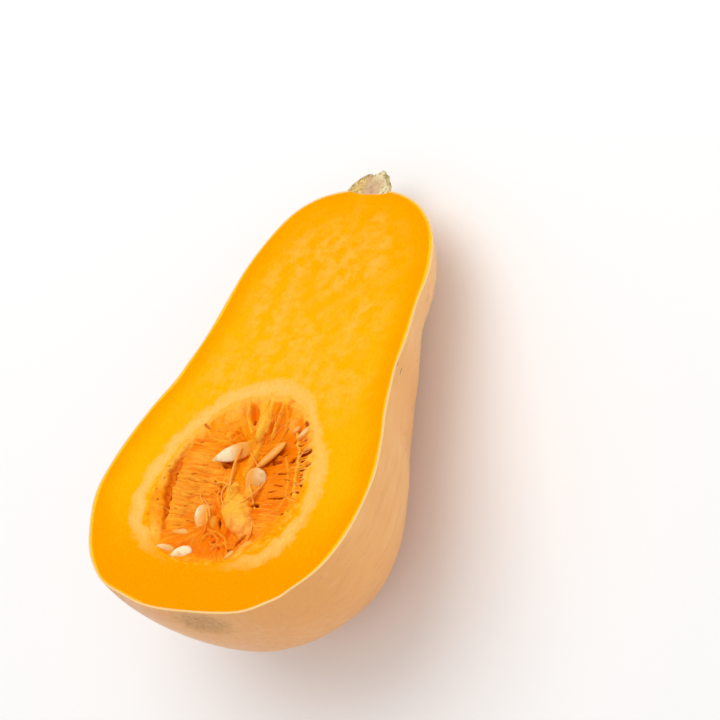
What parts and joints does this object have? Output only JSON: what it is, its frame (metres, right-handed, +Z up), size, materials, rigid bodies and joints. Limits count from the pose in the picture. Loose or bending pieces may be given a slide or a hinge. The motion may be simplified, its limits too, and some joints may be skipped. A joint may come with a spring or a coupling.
{
  "type": "halved butternut squash",
  "caption": "Butternut squash cut lengthwise, lying cut face up on its rounded back, with tan rind, orange flesh, a seed cavity of stringy pulp and pips, and a halved corky stem.",
  "frame": {"origin": "centre of the small flat on the bulb's back that the half rests on", "axes": "+X towards the stem, +Z up, with the cut face up and falling towards the stem by 20.2 degrees"},
  "size_m": [0.2221, 0.1398, 0.0973],
  "materials": {
    "tan_skin": "smooth waxy tan skin with faint streaks",
    "orange_flesh": "moist cut flesh, fine-grained",
    "pulp": "wet stringy pulp, with cream seeds in it",
    "corky_stem": "dry corky ridges"
  },
  "bodies": {
    "root": {"rind": "tan_skin", "flesh": "orange_flesh", "seed_pulp": "pulp", "stem": "corky_stem"}
  },
  "joints": []
}
